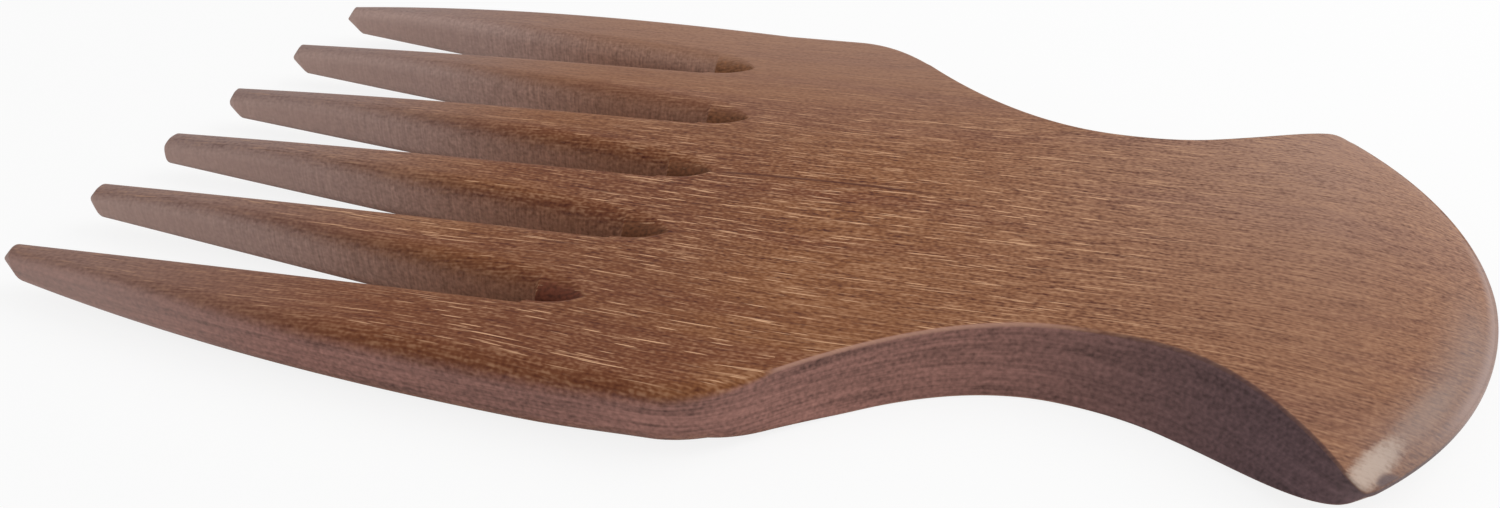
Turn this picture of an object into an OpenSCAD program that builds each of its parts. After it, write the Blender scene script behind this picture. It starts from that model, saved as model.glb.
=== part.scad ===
// Afro pick carved from one board of brown hardwood: six tines, a palm and a fishtail handle.
// The tines point along -X and the tail along +X, with the underside on Z = 0. Sizes are in millimetres.
// Every shape is worked out with X = 0 on the line across the shoulders, and moved to its place at the end.

/* [Board] */
// Thickness of the palm where the tines leave it
palm_t = 7.4; // [6.4:0.1:10]
// Thickness of the handle in front of its rounded end
handle_t = 8.5; // [7.2:0.1:12]
// Width across the shoulders
shoulder_w = 80; // [78:0.5:92]
// Radius of the long flat bow of each side of the comb
side_r = 440; // [380:10:900]
// How far in front of the shoulders the comb is widest
bow_x = 19; // [8:0.5:30]
// How far in front of the shoulders the tines begin to grow thinner
taper_x = 15; // [12:0.5:18]
// How far behind the shoulders the handle has its full thickness
full_x = 45; // [30:0.5:50]

/* [Tines] */
// Reach of the tine tips in front of the shoulders
tine_reach = 83.9; // [75:0.1:95]
// Width of an inner tine at its tip, before it is blunted
tip_w = 3.7; // [3:0.1:5]
// Width of an outer tine at its tip, before it is blunted
outer_tip_w = 3.2; // [2.6:0.1:4]
// Thickness of a tine where its blunt point begins
tip_t = 3.5; // [3:0.1:5]
// Length of the blunt point
point_l = 1.7; // [1:0.1:3]
// Width of the rounding on a tine's edges at its root
edge_root_w = 2.8; // [1.5:0.1:3.4]
// Depth of the rounding on a tine's edges at its root
edge_root_t = 2.9; // [1.5:0.1:3.1]
// Width of the rounding on a tine's edges at its tip
edge_tip_w = 1.6; // [0.8:0.1:1.8]
// Depth of the rounding on a tine's edges at its tip
edge_tip_t = 1.6; // [0.8:0.1:1.8]
// Width of the rounding along the outer sides of the comb
side_edge_w = 3.1; // [1.5:0.1:4]

/* [Gullets] */
// Distance from the shoulders to the root of each outer gullet
outer_root_x = 16.4; // [15:0.1:18]
// Distance from the shoulders to the roots of the three inner gullets
inner_root_x = 12.6; // [10:0.1:14]
// Length of the scoop carved from the end of a saw cut to the root
scoop_l = 6; // [4.8:0.1:7]
// Radius of the round end of a saw cut
cut_end_r = 1.1; // [0.8:0.1:2]

/* [Handle] */
// Reach of the tail behind the shoulders
tail_reach = 70.1; // [66:0.1:78]
// Width across the waist
waist_w = 42.2; // [36:0.2:50]
// Distance from the shoulders back to the waist
waist_x = 30.4; // [28:0.2:34]
// Width across the two horns of the tail
horn_w = 66.3; // [58:0.2:72]
// Distance from the shoulders back to the horns
horn_x = 56.4; // [52:0.2:60]
// Slope of the flank where it leaves the shoulder, in degrees
flank_angle = 49.5; // [40:0.5:56]
// Slope of the outline where it reaches the horn, in degrees
horn_angle = 36.6; // [28:0.5:44]
// Length over which the tail is rounded over to its rim
nose_l = 18.6; // [10:0.2:22]
// Height of the tail's rim above the underside
rim_z = 4.6; // [3:0.1:5.5]
// Thickness of the tail's rim
rim_t = 0.9; // [0.6:0.1:2]
// Width of the worn arris along the handle's sides
arris_w = 0.4; // [0.2:0.1:0.8]
// Width of the rounding under the shoulders
under_edge_w = 5; // [3:0.1:6]
// Depth of the rounding under the shoulders
under_edge_t = 3.3; // [2:0.1:3.6]
// How far behind the shoulders the rounding underneath has faded out
under_fade_x = 16; // [10:0.5:20]

/* [Hidden] */

wood = [0.53, 0.36, 0.27];
tine_wood = [0.50, 0.34, 0.26];
handle_wood = [0.55, 0.39, 0.31];

tine_count = 6;
gullet_count = tine_count - 1;

// Powers of the curves: how the tines thin, how the gaps flare, how the scoops narrow to their roots, how
// the tail rounds over and how the rounding under the shoulders fades
thin_power = 2.6;
flare_power = 1.56;
scoop_power = 1.3;
nose_power = 1.65;
under_fade_power = 2;

// Shares: the blunt point's size at its end and halfway, the largest part of a side that rounding may
// take, the pull of the outline's curves, the rounded part of each corner, the lean of the handle's walls
// at the horns and the web of wood left between the two scoops where the head begins
point_shares = [0.34, 0.70];
rounding_share = 0.94;
flank_pull_share = 0.40;
waist_front_share = 0.38;
waist_back_share = 0.48;
horn_pull_share = 0.45;
shoulder_share = 0.20;
horn_share = 0.06;
lean_share = 0.70;
web_share = 0.10;

// Points on a quarter of rounding, half the points across the handle, and stations along each stretch
round_n = 5;
across_n = 8;
tine_n = 11;
root_n = 8;
head_n = 6;
bend_n = 3;
flank_n = 7;
horn_n = 8;
tail_n = 13;

centre_x = (tine_reach - tail_reach) / 2;
cut_end_x = min(outer_root_x, inner_root_x) + scoop_l;
head_front = -(cut_end_x - web_share * scoop_l);
// The stations near the roots begin one scoop in front of the longest saw cut's end
root_front = -(max(outer_root_x, inner_root_x) + 2 * scoop_l);
// Six tips and the five gaps between them fill the comb's width at its front
tine_pitch = 2 * (side_y(-tine_reach) + tip_w / 2 - outer_tip_w) / gullet_count;
tip_gap = (tine_pitch - tip_w) / 2;

function clamp01(a) = max(0, min(1, a));
function mix(a, b, t) = a + (b - a) * t;
function steps(a, b, n) = [for (i = [0 : n - 1]) mix(a, b, i / (n - 1))];
function reversed(list) = [for (i = [len(list) - 1 : -1 : 0]) list[i]];
function sorted_by_x(list) = len(list) < 2 ? list : let (pivot = list[0][0]) concat(
    sorted_by_x([for (p = list) if (p[0] < pivot) p]), [list[0]],
    sorted_by_x([for (p = list) if (p[0] > pivot) p]));
// A quarter of a superellipse: 0 at the rim, 1 where it meets the flat
function bulge(q, power) = pow(1 - pow(1 - clamp01(q), power), 1 / power);
function cubic(p, t) = pow(1 - t, 3) * p[0] + 3 * pow(1 - t, 2) * t * p[1]
    + 3 * (1 - t) * t * t * p[2] + pow(t, 3) * p[3];
// A corner from p to q, rounded off inside its sharp point c
function bend(p, c, q, t) = pow(1 - t, 2) * p + 2 * (1 - t) * t * c + t * t * q;

// The two faces of the board along X
function thinned(x) = (palm_t - tip_t) / 2
    * pow(clamp01((-x - taper_x) / (tine_reach - taper_x)), thin_power);
function top_z(x) = x < -taper_x ? palm_t - thinned(x)
    : mix(palm_t, handle_t, clamp01((x + taper_x) / (taper_x + full_x)));
function low_z(x) = x < -taper_x ? thinned(x) : 0;

// Half the width of the comb between its tips and its shoulders
function side_y(x) = shoulder_w / 2 + (pow(bow_x, 2) - pow(x + bow_x, 2)) / (2 * side_r);

// Gullet k lies between tine k and tine k + 1
function gullet_y(k) = (k - tine_count / 2) * tine_pitch;
function root_x(k) = k == 1 || k == gullet_count ? outer_root_x : inner_root_x;
function from_root(k, x) = -x - root_x(k);
// How far along its scoop, and how far from the scoop to the tips, a place in a gullet is
function scooped(k, x) = clamp01(from_root(k, x) / scoop_l);
function sawn(k, x, start) = clamp01((from_root(k, x) - start) / (tine_reach - root_x(k) - start));
// Half the width of the saw cut, halfway down the board
function round_end(k, x) = cut_end_r * bulge((from_root(k, x) - scoop_l) / cut_end_r, 2);
function cut_y(k, x) = round_end(k, x)
    + (tip_gap - cut_end_r) * (1 - pow(1 - sawn(k, x, scoop_l + cut_end_r), flare_power));
// The rounding is wider where the saw cut ends, so that the opening in the face has no step there
function edge_w(k, x) = bulge(scooped(k, x), scoop_power)
    * (cut_end_r + mix(edge_root_w, edge_tip_w, sawn(k, x, scoop_l))) - round_end(k, x);
function edge_t(k, x) = mix(edge_root_t, edge_tip_t, sawn(k, x, scoop_l)) * scooped(k, x);

// The rounding along the outer sides. On the upper face it fades to a crisp arris just behind the shoulders.
// Underneath it swells from the palm's front to the shoulders, and fades out further back.
function side_w(x) = mix(side_edge_w, edge_tip_w, clamp01(-x / tine_reach));
function side_t(x) = mix(edge_root_t, edge_tip_t, clamp01(-x / tine_reach));
function upper_fade(x) = sqrt(clamp01((scoop_l - x) / (scoop_l + taper_x)));
function under_fade(x) = pow(clamp01((under_fade_x - x) / under_fade_x), under_fade_power);
function swell(x) = bulge(1 - x / head_front, 2);
function outer_w(x, below) = max(arris_w,
    below ? mix(side_w(x), under_edge_w, swell(x)) * under_fade(x) : side_w(x) * upper_fade(x));
function outer_t(x, below) = max(arris_w,
    below ? mix(side_t(x), under_edge_t, swell(x)) * under_fade(x) : side_t(x) * upper_fade(x));

// A quarter of rounding as pairs of distance from the wall and depth below the face, from wall to face.
// It is round along a tine and opens into a plain V at the end of a scoop.
function rounding(w, t, v_share) = [for (a = steps(0, 90, round_n))
    [w * mix(1 - cos(a), a / 90, v_share), t * mix(1 - sin(a), 1 - a / 90, v_share)]];
function gullet_rounding(k, x, shrink) =
    rounding(edge_w(k, x) * shrink, min(edge_t(k, x), deepest(x)), 1 - scooped(k, x));
function outer_rounding(x, shrink, below) =
    rounding(outer_w(x, below) * shrink, min(outer_t(x, below), deepest(x)), 0);
function deepest(x) = rounding_share * (top_z(x) - low_z(x)) / 2;

// Rows run across the board from +Y to -Y, as pairs of Y and depth below the face
function from_high(y, quarter) = [for (p = quarter) [y - p[0], p[1]]];
function from_low(y, quarter) = reversed([for (p = quarter) [y + p[0], p[1]]]);
function without_first(list) = [for (i = [1 : len(list) - 1]) list[i]];

// The two sides of a tine, the part of its width that its rounding needs, and its row
function high_y(i, x) = i == tine_count ? side_y(x) : gullet_y(i) - cut_y(i, x);
function lower_y(i, x) = i == 1 ? -side_y(x) : gullet_y(i - 1) + cut_y(i - 1, x);
function high_w(i, x, below) = i == tine_count ? outer_w(x, below) : edge_w(i, x);
function lower_w(i, x, below) = i == 1 ? outer_w(x, below) : edge_w(i - 1, x);
function shrink_of(i, x, below) = min(1, rounding_share * (high_y(i, x) - lower_y(i, x))
    / (high_w(i, x, below) + lower_w(i, x, below)));
function tine_row(i, x, below) = let (s = shrink_of(i, x, below)) concat(
    from_high(high_y(i, x), i == tine_count ? outer_rounding(x, s, below) : gullet_rounding(i, x, s)),
    from_low(lower_y(i, x), i == 1 ? outer_rounding(x, s, below) : gullet_rounding(i - 1, x, s)));

// The head's row crosses all five scoops. Past a root its points lie on the flat face.
function scoop_rounding(k, x) = rounding(max(edge_w(k, x), arris_w), edge_t(k, x), 1 - scooped(k, x));
function scoop_row(k, x) = concat(from_low(gullet_y(k), scoop_rounding(k, x)),
    without_first(from_high(gullet_y(k), scoop_rounding(k, x))));
function head_row(x, y, below) = concat(from_high(y, outer_rounding(x, 1, below)),
    [for (k = [gullet_count : -1 : 1]) each scoop_row(k, x)],
    from_low(-y, outer_rounding(x, 1, below)));

// A closed section across the board: its top row and then its lower row back again
function section(x, top_row, low_row) = concat([for (p = top_row) [x, p[0], top_z(x) - p[1]]],
    [for (p = reversed(low_row)) [x, p[0], low_z(x) + p[1]]]);

// The blunt point shrinks the tine's section about its own middle, a pair of Y and Z
function shrunk(x, ring, middle, share) =
    [for (p = ring) [x, mix(middle[0], p[1], share), mix(middle[1], p[2], share)]];
function tine_ring(i, x) = section(x, tine_row(i, x, false), tine_row(i, x, true));
function head_ring(x, y) = section(x, head_row(x, y, false), head_row(x, y, true));
function tine_rings(i) = let (start = point_l - tine_reach, ring = tine_ring(i, start),
        middle = [(high_y(i, start) + lower_y(i, start)) / 2, palm_t / 2]) concat(
    [shrunk(-tine_reach, ring, middle, point_shares[0]),
        shrunk(-tine_reach + point_l / 2, ring, middle, point_shares[1])],
    [for (x = steps(start, root_front, tine_n)) tine_ring(i, x)],
    without_first([for (x = steps(root_front, head_front, root_n)) tine_ring(i, x)]));

// The outline behind the shoulders: two curves that meet at the waist, and the arc of the tail
shoulder = [0, shoulder_w / 2];
waist = [waist_x, waist_w / 2];
horn = [horn_x, horn_w / 2];
function heading(angle) = [cos(angle), sin(angle)];
flank_curve = [shoulder, shoulder + flank_pull_share * waist_x * heading(-flank_angle),
    waist - [waist_front_share * waist_x, 0], waist];
horn_curve = [waist, waist + [waist_back_share * (horn_x - waist_x), 0],
    horn - horn_pull_share * (horn_x - waist_x) * heading(horn_angle), horn];
tail_rise = tail_reach - horn_x;
tail_r = (pow(horn_w / 2, 2) + pow(tail_rise, 2)) / (2 * tail_rise);
tail_x = tail_reach - tail_r;
horn_turn = atan2(horn_w / 2, horn_x - tail_x);
function tail_point(turn) = [tail_x, 0] + tail_r * heading(turn);

bend_back = cubic(flank_curve, shoulder_share);
bend_front = [-bend_back[0], side_y(-bend_back[0])];
horn_front = cubic(horn_curve, 1 - horn_share);
horn_back = tail_point(horn_turn * (1 - horn_share));
shoulder_middle = bend(bend_front, shoulder, bend_back, 1 / 2);

// The stations of the head and the handle, each a pair of X and half width
head_stations = concat([for (x = steps(head_front, bend_front[0], head_n)) [x, side_y(x)]],
    [for (k = [1, 2]) [-root_x(k), side_y(-root_x(k))]],
    without_first([for (t = steps(0, 1 / 2, bend_n)) bend(bend_front, shoulder, bend_back, t)]));
handle_stations = concat([for (t = steps(1 / 2, 1, bend_n)) bend(bend_front, shoulder, bend_back, t)],
    without_first([for (t = steps(shoulder_share, 1, flank_n)) cubic(flank_curve, t)]),
    without_first([for (t = steps(0, 1 - horn_share, horn_n)) cubic(horn_curve, t)]),
    without_first([for (t = steps(0, 1, bend_n)) bend(horn_front, horn, horn_back, t)]),
    without_first([for (t = steps(1 - horn_share, 1 / tail_n, tail_n)) tail_point(horn_turn * t)]),
    [[tail_reach, tail_point(horn_turn / (2 * tail_n))[1]]]);

// How much of the board's thickness is left at a place: all of it up to the waist, and less and less from
// there towards the tail's rim
function fullness(x, y) = x < waist_x ? 1
    : bulge((tail_r - norm([max(x - tail_x, 0), y])) / nose_l, nose_power);
function upper_z(x, y) = rim_z + max((top_z(x) - rim_z) * fullness(x, y), rim_t / 2);
function under_z(x, y) = rim_z - max((rim_z - low_z(x)) * fullness(x, y), rim_t / 2);

// The side walls lean outwards below, more and more from the shoulders to the horns
function wall_h(x, y) = upper_z(x, y) - under_z(x, y);
function lean(x, y) = lean_share * pow(clamp01(x / horn_x), 2) * (wall_h(x, y) - rim_t) / 2;
function handle_quarter(x, y, below) = rounding(outer_w(x, below),
    min(outer_t(x, below), rounding_share * wall_h(x, y) / 2), 0);
function handle_row(x, y, edge_y, below) = let (quarter = handle_quarter(x, y, below),
        flat_y = edge_y - quarter[round_n - 1][0]) concat(
    from_high(edge_y, quarter),
    [for (i = [across_n - 1 : -1 : 1 - across_n]) [flat_y * sin(90 * i / across_n), 0]],
    from_low(-edge_y, quarter));
function handle_ring(x, y) = let (top_row = handle_row(x, y, y - lean(x, y), false),
        low_row = handle_row(x, y, y + lean(x, y), true)) concat(
    [for (p = top_row) [x, p[0], upper_z(x, min(abs(p[0]), y)) - p[1]]],
    [for (p = reversed(low_row)) [x, p[0], under_z(x, min(abs(p[0]), y)) + p[1]]]);

// Skins a row of closed rings that run along +X, each with the same number of points
module skin(rings) {
    n = len(rings[0]);
    last = len(rings) - 1;
    sides = [for (i = [0 : last - 1], j = [0 : n - 1])
        let (a = i * n + j, b = i * n + (j + 1) % n) each [[a, a + n, b + n], [a, b + n, b]]];
    caps = [[for (j = [0 : n - 1]) j], [for (j = [n - 1 : -1 : 0]) last * n + j]];
    polyhedron(points = [for (ring = rings) each ring], faces = concat(sides, caps));
}

module in_place() {
    translate([centre_x, 0, 0]) children();
}

// Tine i, counted from -Y to +Y
module tine(i) {
    color(tine_wood) in_place() skin(tine_rings(i));
}

// The palm, with the scoops at the roots of the gullets carved into both faces
module head() {
    ordered = sorted_by_x(head_stations);
    color(wood) in_place() skin([for (s = ordered) head_ring(s[0], s[1])]);
}

// The waist and the fishtail end
module handle() {
    color(handle_wood) in_place() skin([for (s = handle_stations) handle_ring(s[0], s[1])]);
}

tine(1);  // tine_1
tine(2);  // tine_2
tine(3);  // tine_3
tine(4);  // tine_4
tine(5);  // tine_5
tine(6);  // tine_6
head();
handle();
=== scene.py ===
"""Carves the visible surfaces of a wooden afro pick, finishes them and sets the pick on a plain stage."""

import bpy
import numpy as np
from bpy.props import FloatProperty, FloatVectorProperty, IntProperty, PointerProperty
from mathutils import Matrix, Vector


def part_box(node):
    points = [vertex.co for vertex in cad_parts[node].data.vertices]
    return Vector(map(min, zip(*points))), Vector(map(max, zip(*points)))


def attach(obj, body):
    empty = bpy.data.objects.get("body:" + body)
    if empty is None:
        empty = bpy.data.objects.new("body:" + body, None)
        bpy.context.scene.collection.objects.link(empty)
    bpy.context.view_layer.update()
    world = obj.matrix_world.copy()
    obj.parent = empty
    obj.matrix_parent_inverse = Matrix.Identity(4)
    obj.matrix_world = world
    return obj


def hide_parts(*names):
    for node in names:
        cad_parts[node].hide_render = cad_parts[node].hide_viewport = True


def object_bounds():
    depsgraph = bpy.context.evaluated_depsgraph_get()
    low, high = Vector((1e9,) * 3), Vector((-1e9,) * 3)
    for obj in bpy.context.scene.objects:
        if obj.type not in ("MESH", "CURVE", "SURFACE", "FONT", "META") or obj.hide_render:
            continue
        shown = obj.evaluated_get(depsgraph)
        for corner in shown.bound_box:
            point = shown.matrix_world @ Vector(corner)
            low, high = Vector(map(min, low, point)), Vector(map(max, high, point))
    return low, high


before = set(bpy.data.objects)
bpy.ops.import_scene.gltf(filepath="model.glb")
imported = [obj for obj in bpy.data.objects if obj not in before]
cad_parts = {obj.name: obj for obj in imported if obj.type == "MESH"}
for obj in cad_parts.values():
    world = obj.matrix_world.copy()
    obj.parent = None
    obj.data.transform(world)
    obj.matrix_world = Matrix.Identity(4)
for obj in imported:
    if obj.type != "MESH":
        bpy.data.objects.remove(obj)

bl_info = {
    "name": "Carved Afro Pick",
    "version": (1, 0, 0),
    "blender": (4, 5, 0),
    "location": "3D View > Sidebar > Pick",
    "description": "Carves and finishes a hardwood afro pick with six tines and a fishtail handle",
    "category": "Object",
}

MM = 0.001
QUARTER = np.pi / 2
CAD_LOW, CAD_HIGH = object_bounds()
HEAD_LOW, HEAD_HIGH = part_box("head")
SHOULDER_X = HEAD_HIGH.x
HEAD_FRONT = HEAD_LOW.x - SHOULDER_X
TINES = sorted(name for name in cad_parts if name.startswith("tine_"))
GULLETS = range(1, len(TINES))

# Points along the shoulder's corner, flank, horn's curve, horn's corner, tail, saw cut's end and blunt point
CORNER_N, FLANK_N, HORN_CURVE_N, HORN_N, TAIL_N, CUT_END_N, POINT_N = 81, 90, 70, 30, 110, 14, 20
# The last station stops this share of the tail's arc before its middle, so that the end face has a width
TAIL_STOP = 0.012
# The way that the upper bevels of the blunt points face, and the power of the bevels' curve
BEVEL_FACES, BEVEL_POWER = (0, 0.54, 0.84), 1.05
# Each row of long cells in the grain begins this part of a cell further on than the one before
ROW_SLANT = 0.37
SENSOR_MM = 36
CLIP_START = 5 * MM


def length(name, default_mm, description):
    """A size that is typed in millimetres and kept in metres."""
    return FloatProperty(name=name, description=description, default=default_mm * MM, unit="LENGTH",
                         precision=5)


def each_tine(name, default_mm, description):
    """A length for each tine, counted from the near side."""
    return FloatVectorProperty(name=name, description=description, size=6, unit="LENGTH",
                               default=[mm * MM for mm in default_mm])


def place(name, default_mm, description):
    """A point that is typed in millimetres and kept in metres."""
    return FloatVectorProperty(name=name, description=description, subtype="TRANSLATION", unit="LENGTH",
                               default=[mm * MM for mm in default_mm])


def rotation(name, default_degrees, description):
    """An angle that is typed in degrees and kept in radians."""
    return FloatProperty(name=name, description=description, default=np.radians(default_degrees),
                         unit="ROTATION")


def number(name, default, description):
    return FloatProperty(name=name, description=description, default=default)


def share(name, default, description):
    return FloatProperty(name=name, description=description, default=default, min=0, max=1, subtype="FACTOR")


def colour(name, default, description):
    return FloatVectorProperty(name=name, description=description, default=default, size=3, subtype="COLOR",
                               min=0, max=1)


class BoardSizes(bpy.types.PropertyGroup):
    """The blank that the pick is cut from, measured from the line across its shoulders."""
    palm_t: length("Palm thickness", 7.4, "Thickness where the tines leave the palm")
    handle_t: length("Handle thickness", (CAD_HIGH.z - CAD_LOW.z) / MM,
                     "Thickness in front of the rounded tail")
    shoulder_w: length("Shoulder width", 80, "Width across the shoulders")
    side_r: length("Side radius", 440, "Radius of the long bow of each side of the comb")
    bow_x: length("Bow", 19, "How far in front of the shoulders the comb is widest")
    taper_x: length("Taper start", 15, "How far in front of the shoulders the tines begin to thin")
    full_x: length("Full thickness", 45, "How far behind the shoulders the handle has its full thickness")
    side_edge_w: length("Side rounding", 3.1, "Width of the rounding along the outer sides of the comb")
    arris_w: length("Arris", 0.4, "Width of the worn arris along the handle's sides")
    under_edge_w: length("Under rounding width", 5, "Width of the rounding under the shoulders")
    under_edge_t: length("Under rounding depth", 3.3, "Depth of the rounding under the shoulders")
    under_fade_x: length("Under fade", 16, "How far behind the shoulders the rounding underneath ends")
    thin_power: number("Thinning", 2.6, "Power of the curve by which the tines thin")


class TineSizes(bpy.types.PropertyGroup):
    """The six tines and the gullets sawn between them."""
    reach: length("Reach", (SHOULDER_X - CAD_LOW.x) / MM, "Reach of the tips in front of the shoulders")
    tip_w: length("Tip width", 3.7, "Width of an inner tine at its tip, before it is blunted")
    outer_tip_w: length("Outer tip width", 3.2, "Width of an outer tine at its tip, before it is blunted")
    tip_t: length("Tip thickness", 3.5, "Thickness where the blunt point begins")
    edge_root_w: length("Root rounding width", 2.8, "Width of the rounding at a tine's root")
    edge_root_t: length("Root rounding depth", 2.9, "Depth of the rounding at a tine's root")
    edge_tip_w: length("Tip rounding width", 1.6, "Width of the rounding at a tine's tip")
    edge_tip_t: length("Tip rounding depth", 1.6, "Depth of the rounding at a tine's tip")
    outer_root_x: length("Outer roots", 16.4, "Distance from the shoulders to the roots of the outer gullets")
    inner_root_x: length("Inner roots", 12.6, "Distance from the shoulders to the roots of the inner gullets")
    scoop_l: length("Scoop", 6, "Length of the scoop from a saw cut's end to the root")
    cut_end_r: length("Saw cut", 1.1, "Radius of the round end of a saw cut")
    flare_power: number("Flare", 1.56, "Power of the curve by which the gaps widen")
    scoop_power: number("Scoop power", 1.3, "Power of the curve by which the scoops narrow")
    rounding_share: share("Largest rounding", 0.94, "Largest part of a side that the rounding may take")
    sway: each_tine("Sway", (0.0, 0.2, -0.25, -0.7, 0.2, 0.8), "How far each tine's tip leans towards +Y")
    short: each_tine("Shortened", (0.0, 0.2, 0.5, 0.75, 0.7, 0.7), "How much each tine was cut shorter")
    upper_bevel: each_tine("Upper bevels", (1.5, 1.5, 1.5, 0.85, 1.15, 1.3),
                           "Length of each point's bevel above")
    under_bevel: each_tine("Under bevels", (3.1, 2.1, 1.0, 2.1, 2.6, 2.8),
                           "Length of each point's bevel below")
    blunt: FloatVectorProperty(name="Blunt ends", size=6, default=(0.20, 0.22, 0.30, 0.35, 0.20, 0.08),
                               description="Size of each tine's end as a share of its section")


class HandleSizes(bpy.types.PropertyGroup):
    """The waist and the fishtail end."""
    reach: length("Reach", (CAD_HIGH.x - SHOULDER_X) / MM, "Reach of the tail behind the shoulders")
    waist_w: length("Waist width", 42.2, "Width across the waist")
    waist_x: length("Waist", 30.4, "Distance from the shoulders back to the waist")
    horn_w: length("Horn width", 66.3, "Width across the two horns of the tail")
    horn_x: length("Horns", 56.4, "Distance from the shoulders back to the horns")
    flank_angle: rotation("Flank angle", 49.5, "Slope of the flank at the shoulder")
    horn_angle: rotation("Horn angle", 36.6, "Slope of the outline at the horn")
    nose_l: length("Tail rounding", 18.6, "Length over which the tail is rounded over to its rim")
    nose_power: number("Tail power", 1.65, "Power of the tail's rounding")
    rim_z: length("Rim height", 4.6, "Height of the tail's rim above the underside")
    rim_t: length("Rim thickness", 0.9, "Thickness of the tail's rim")
    flank_pull: share("Flank pull", 0.40, "Pull of the flank's curve at the shoulder")
    waist_front_pull: share("Waist front pull", 0.38, "Pull of the flank's curve at the waist")
    waist_back_pull: share("Waist back pull", 0.48, "Pull of the horn's curve at the waist")
    horn_pull: share("Horn pull", 0.45, "Pull of the horn's curve at the horn")
    shoulder_share: share("Shoulder rounding", 0.20, "Rounded part of the flank at the shoulder")
    horn_share: share("Horn rounding", 0.06, "Rounded part of the curves at the horn")
    lean_share: share("Wall lean", 0.70, "Lean of the walls at the horns as a share of half their height")


class WoodColours(bpy.types.PropertyGroup):
    """Colours of the oiled hardwood, as linear red, green and blue. Some of them paint sheen, highlights and
    shade, as their comments say.
    """
    heart: colour("Heartwood", (0.240, 0.089, 0.032), "The board's upper and lower faces")
    ruddy: colour("Ruddy bands", (0.190, 0.061, 0.023), "Redder bands of growth")
    root: colour("Roots", (0.168, 0.054, 0.022), "Darker wood between the gullets' roots")
    tan: colour("Tan bands", (0.265, 0.122, 0.060), "Paler bands of growth")
    fleck: colour("Flecks", (0.740, 0.430, 0.250), "Pale flecks along the grain")
    pore: colour("Pores", (0.062, 0.008, 0.002), "Dark pores and hairlines")
    # Partly painted sheen: the flanks' greyer, bluer colour is side grain with a painted reflection of the
    # surroundings.
    flank: colour("Flanks", (0.260, 0.128, 0.104), "Planed walls along the sides")
    # Partly painted shade: besides oil-dark end grain, this colour paints shade on the flank below the near
    # horn, on the gullets' roundings, along the arris below the horns and in the small dark spot by the near
    # horn.
    horn: colour("Oil-dark flanks", (0.102, 0.060, 0.064), "End grain below the horns, dark with oil")
    sawn: colour("Sawn walls", (0.385, 0.198, 0.125), "Rough walls of the gullets")
    scoop: colour("Scoops", (0.125, 0.035, 0.018), "Oiled scoops at the gullets' roots")
    burnt: colour("Burnt scoops", (0.142, 0.053, 0.024), "Scoops of the gullets behind the near one")
    # Painted sheen: the greyer band on the rounding inside the tail's rim.
    ash: colour("Greyed wood", (0.300, 0.250, 0.235), "Wood inside the tail's rim, greyed by handling")
    # Painted highlight: the pale rim at the tail's end.
    rim: colour("Handled rim", (0.440, 0.330, 0.300), "Rim of the tail, greyed by handling")
    # Painted sheen: the greyer colour towards the tine tips stands for a reflection of the white surroundings
    # at grazing angles.
    tip_sheen: colour("Dry wood", (0.272, 0.182, 0.160), "Greyer wood towards the tine tips")
    # Painted sheen: paler walls towards the tine tips and on the far side.
    tip_wall_sheen: colour("Walls at the tips", (0.475, 0.330, 0.288), "Inner walls towards the tine tips")
    # Painted sheen: this colour pales the far side and the tail, where the oiled faces catch a grazing
    # reflection.
    pale: colour("Handled wood", (0.365, 0.220, 0.162), "Wood of the tail, paler from handling")
    # Partly painted highlight: the pale line along the waist is wear with a painted highlight, and at the
    # tail's end this colour paints a highlight on the flank.
    arris: colour("Worn arris", (0.460, 0.260, 0.200), "Pale worn line along the handle's arris")
    # Painted highlight: the pale patch by the near horn and the faint pale line along the tail's rounding.
    painted_highlight: colour("Rubbed horn", (0.560, 0.430, 0.350), "Rubbed patch by the horns")
    grain_turn: rotation("Grain turn", -3, "Turn of the grain against the board's length")
    grain_wander: length("Grain wander", 5, "How far the grain wanders sideways")
    gloss: share("Gloss", 0.15, "Strength of the oiled wood's reflection")


class StageSettings(bpy.types.PropertyGroup):
    """The camera's place, the lights and the floor."""
    camera_at: place("Camera", (43.77, -130.2, 85.94), "Place of the camera")
    yaw: rotation("Yaw", 19.14, "Turn of the camera about the upright axis")
    pitch: rotation("Pitch", 32.89, "Tilt of the camera below the horizon")
    roll: rotation("Roll", -1.55, "Turn of the camera about its own axis")
    focal: number("Focal length", 33.30, "Focal length in millimetres for a 36 mm sensor")
    ambient: number("Ambient light", 0.60, "Strength of the even light")
    key: number("Key light", 1.9, "Power of the overhead lamp in watts")
    key_at: place("Key lamp", (400, 200, 420), "Place of the overhead lamp")
    key_d: length("Key lamp size", 500, "Diameter of the overhead lamp")
    floor_half: length("Floor size", 3000, "Half the width of the floor")
    floor_white: share("Floor white", 0.85, "Share of plain white in the floor that the camera sees")


class MeshCounts(bpy.types.PropertyGroup):
    """How finely the surfaces are worked out."""
    turns: IntProperty(name="Rounding points", description="Points on a quarter of rounding", default=16)
    flats: IntProperty(name="Face points", description="Points across each flat of a tine", default=6)
    across: IntProperty(name="Handle points", description="Half the points across the handle", default=56)
    step: length("Station step", 0.3, "Distance between stations along the board")


# Curves shared by every part of the board
def clamp01(a):
    """Holds a value between 0 and 1."""
    return np.clip(a, 0, 1)


def mix(a, b, t):
    """Goes from a to b as t goes from 0 to 1, by a + (b - a) t."""
    return a + (b - a) * t


def bulge(q, power):
    """A quarter of a superellipse: 0 at the rim and 1 where it meets the flat, by the n-th root of
    1 - (1 - q) ^ n."""
    return (1 - (1 - clamp01(q)) ** power) ** (1 / power)


def heading(angle):
    """The direction (cos a, sin a)."""
    return np.stack([np.cos(angle), np.sin(angle)], axis=-1)


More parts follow.
